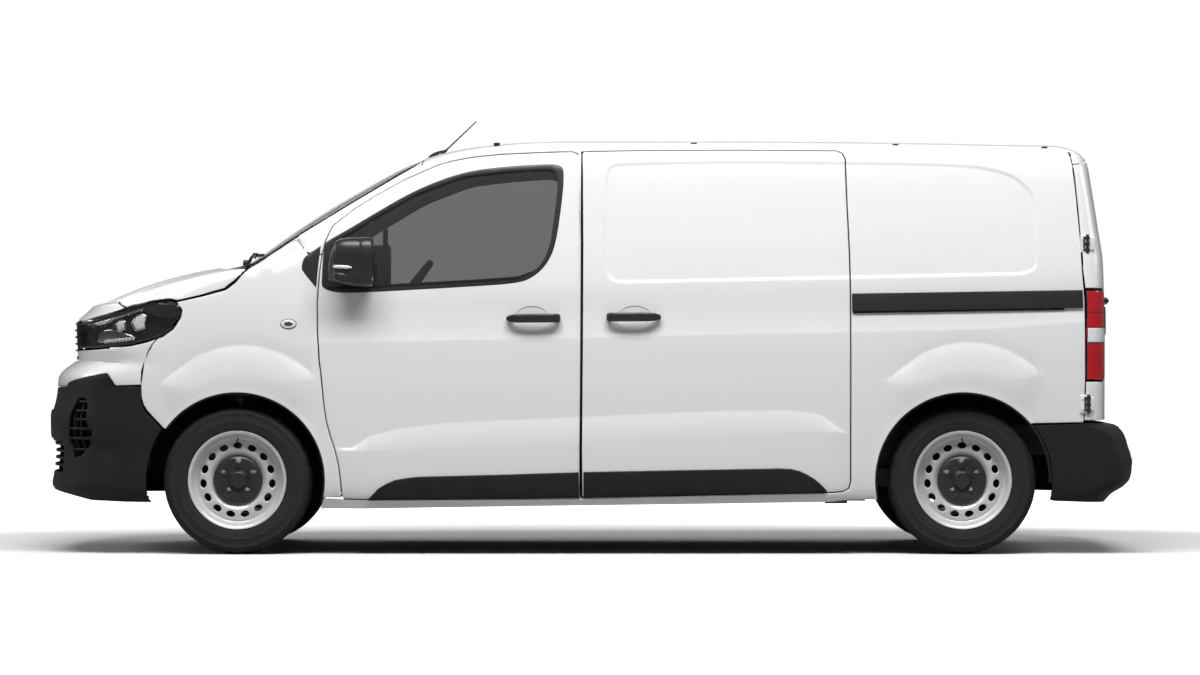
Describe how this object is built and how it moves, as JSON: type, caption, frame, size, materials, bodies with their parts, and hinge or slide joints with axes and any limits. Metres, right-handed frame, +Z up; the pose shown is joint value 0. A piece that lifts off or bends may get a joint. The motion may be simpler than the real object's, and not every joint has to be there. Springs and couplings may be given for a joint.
{
  "type": "panel van",
  "caption": "Mid-size panel van with opening front doors, rear wing doors and bonnet, steered front wheels and a hollow load space behind a bulkhead.",
  "frame": {"origin": "on the ground below the middle of the van's overall length and width", "axes": "-X points forwards, +X to the tail, -Y to the van's left side, +Z up"},
  "size_m": [4.982, 2.1954, 1.995],
  "materials": {
    "body_white": "gloss white paint with faint orange peel",
    "trim_black": "grained black moulded plastic",
    "window_glass": "lightly green tinted safety glass",
    "lamp_clear": "clear moulded lens over bright reflectors",
    "lamp_red": "ribbed red lens",
    "cab_plastic": "grained dark plastic",
    "seat_cloth": "dark woven cloth",
    "chassis_metal": "dark underbody coating",
    "exhaust_metal": "dull heat-stained steel",
    "tank_plastic": "blow-moulded plastic",
    "bulkhead_metal": "light grey paint",
    "tyre_rubber": "black rubber, dusty sidewall",
    "wheel_silver": "silver painted pressed steel"
  },
  "bodies": {
    "root": {"roof_panel": "body_white", "side_panel_left": "body_white", "side_panel_right": "body_white", "front_wings": "body_white", "front_bumper": "body_white", "sliding_door_left": "body_white", "sliding_door_right": "body_white", "grille": "trim_black", "rear_bumper": "trim_black", "scuttle_panel": "trim_black", "wipers": "trim_black", "aerial": "trim_black", "sliding_door_rails": "trim_black", "sliding_door_handles": "trim_black", "wheelhouses": "trim_black", "roof_sockets": "trim_black", "windscreen": "window_glass", "headlamps": "lamp_clear", "tail_lamps": "lamp_red", "dashboard": "cab_plastic", "steering_wheel": "cab_plastic", "driver_seat": "seat_cloth", "passenger_bench": "seat_cloth", "floor_pan": "chassis_metal", "firewall": "chassis_metal", "front_subframe": "chassis_metal", "rear_axle": "chassis_metal", "engine_block": "chassis_metal", "exhaust": "exhaust_metal", "fuel_tank": "tank_plastic", "bulkhead": "bulkhead_metal"},
    "front_door_left": {"front_door_left": "body_white", "door_glass_left": "window_glass", "door_mirror_left": "body_white", "door_handle_left": "trim_black"},
    "front_door_right": {"front_door_right": "body_white", "door_glass_right": "window_glass", "door_mirror_right": "body_white", "door_handle_right": "trim_black"},
    "rear_door_left": {"rear_door_left": "body_white"},
    "rear_door_right": {"rear_door_right": "body_white"},
    "bonnet": {"bonnet": "body_white"},
    "knuckle_left": {"knuckle_left": "chassis_metal"},
    "knuckle_right": {"knuckle_right": "chassis_metal"},
    "wheel_front_left": {"tyre_front_left": "tyre_rubber", "wheel_front_left": "wheel_silver"},
    "wheel_front_right": {"tyre_front_right": "tyre_rubber", "wheel_front_right": "wheel_silver"},
    "wheel_rear_left": {"tyre_rear_left": "tyre_rubber", "wheel_rear_left": "wheel_silver"},
    "wheel_rear_right": {"tyre_rear_right": "tyre_rubber", "wheel_rear_right": "wheel_silver"}
  },
  "joints": [
    {"name": "steer_left", "type": "hinge", "parent": "root", "child": "knuckle_left", "pos_m": [-1.5865, -0.738, 0.335], "axis": [0, 0.2368, 0.9715], "range_deg": [-36, 36]},
    {"name": "steer_right", "type": "hinge", "parent": "root", "child": "knuckle_right", "pos_m": [-1.5865, 0.738, 0.335], "axis": [0, -0.2368, 0.9715], "range_deg": [-36, 36]},
    {"name": "roll_front_left", "type": "hinge", "parent": "knuckle_left", "child": "wheel_front_left", "pos_m": [-1.5865, -0.8135, 0.335], "axis": [0, 1, 0], "continuous": true},
    {"name": "roll_front_right", "type": "hinge", "parent": "knuckle_right", "child": "wheel_front_right", "pos_m": [-1.5865, 0.8135, 0.335], "axis": [0, 1, 0], "continuous": true},
    {"name": "roll_rear_left", "type": "hinge", "parent": "root", "child": "wheel_rear_left", "pos_m": [1.6885, -0.8, 0.335], "axis": [0, 1, 0], "continuous": true},
    {"name": "roll_rear_right", "type": "hinge", "parent": "root", "child": "wheel_rear_right", "pos_m": [1.6885, 0.8, 0.335], "axis": [0, 1, 0], "continuous": true},
    {"name": "front_door_left_hinge", "type": "hinge", "parent": "root", "child": "front_door_left", "pos_m": [-1.201, -0.962, 0.8], "axis": [0, -0.03, -0.9996], "range_deg": [0, 70]},
    {"name": "front_door_right_hinge", "type": "hinge", "parent": "root", "child": "front_door_right", "pos_m": [-1.201, 0.962, 0.8], "axis": [0, -0.03, 0.9996], "range_deg": [0, 70]},
    {"name": "rear_door_left_hinge", "type": "hinge", "parent": "root", "child": "rear_door_left", "pos_m": [2.255, -0.952, 0.74], "axis": [0, -0.0502, -0.9987], "range_deg": [0, 180]},
    {"name": "rear_door_right_hinge", "type": "hinge", "parent": "root", "child": "rear_door_right", "pos_m": [2.255, 0.952, 0.74], "axis": [0, -0.0502, 0.9987], "range_deg": [0, 180]},
    {"name": "bonnet_hinge", "type": "hinge", "parent": "root", "child": "bonnet", "pos_m": [-1.56, 0, 1.3], "axis": [0, 1, 0], "range_deg": [0, 50]}
  ],
  "couplings": [
    {"joint": "steer_right", "follows": "steer_left", "ratio": 1}
  ]
}
